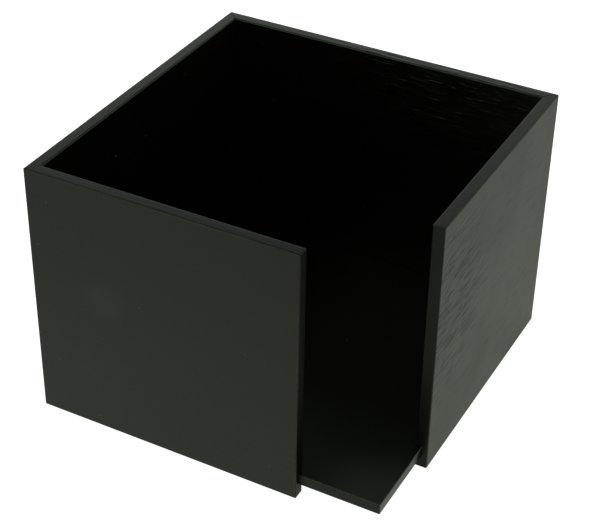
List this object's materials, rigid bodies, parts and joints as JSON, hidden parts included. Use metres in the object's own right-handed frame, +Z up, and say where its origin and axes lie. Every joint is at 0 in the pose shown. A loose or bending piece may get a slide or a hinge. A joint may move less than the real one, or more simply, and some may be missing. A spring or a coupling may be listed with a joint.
{
  "type": "napkin dispenser",
  "caption": "Square open-topped wooden box that holds a stack of folded napkins, with one corner left open so that fingers can pinch the stack.",
  "frame": {"origin": "on the table, under the middle of the box", "axes": "+Z up out of the open top; the front wall faces -Y; the open corner is at +X, -Y"},
  "size_m": [0.14, 0.14, 0.103],
  "materials": {
    "stained_walls": "satin",
    "stained_base": "satin"
  },
  "bodies": {
    "root": {"front_panel": "stained_walls", "left_panel": "stained_walls", "back_panel": "stained_walls", "right_panel": "stained_walls", "base_panel": "stained_base"}
  },
  "joints": []
}
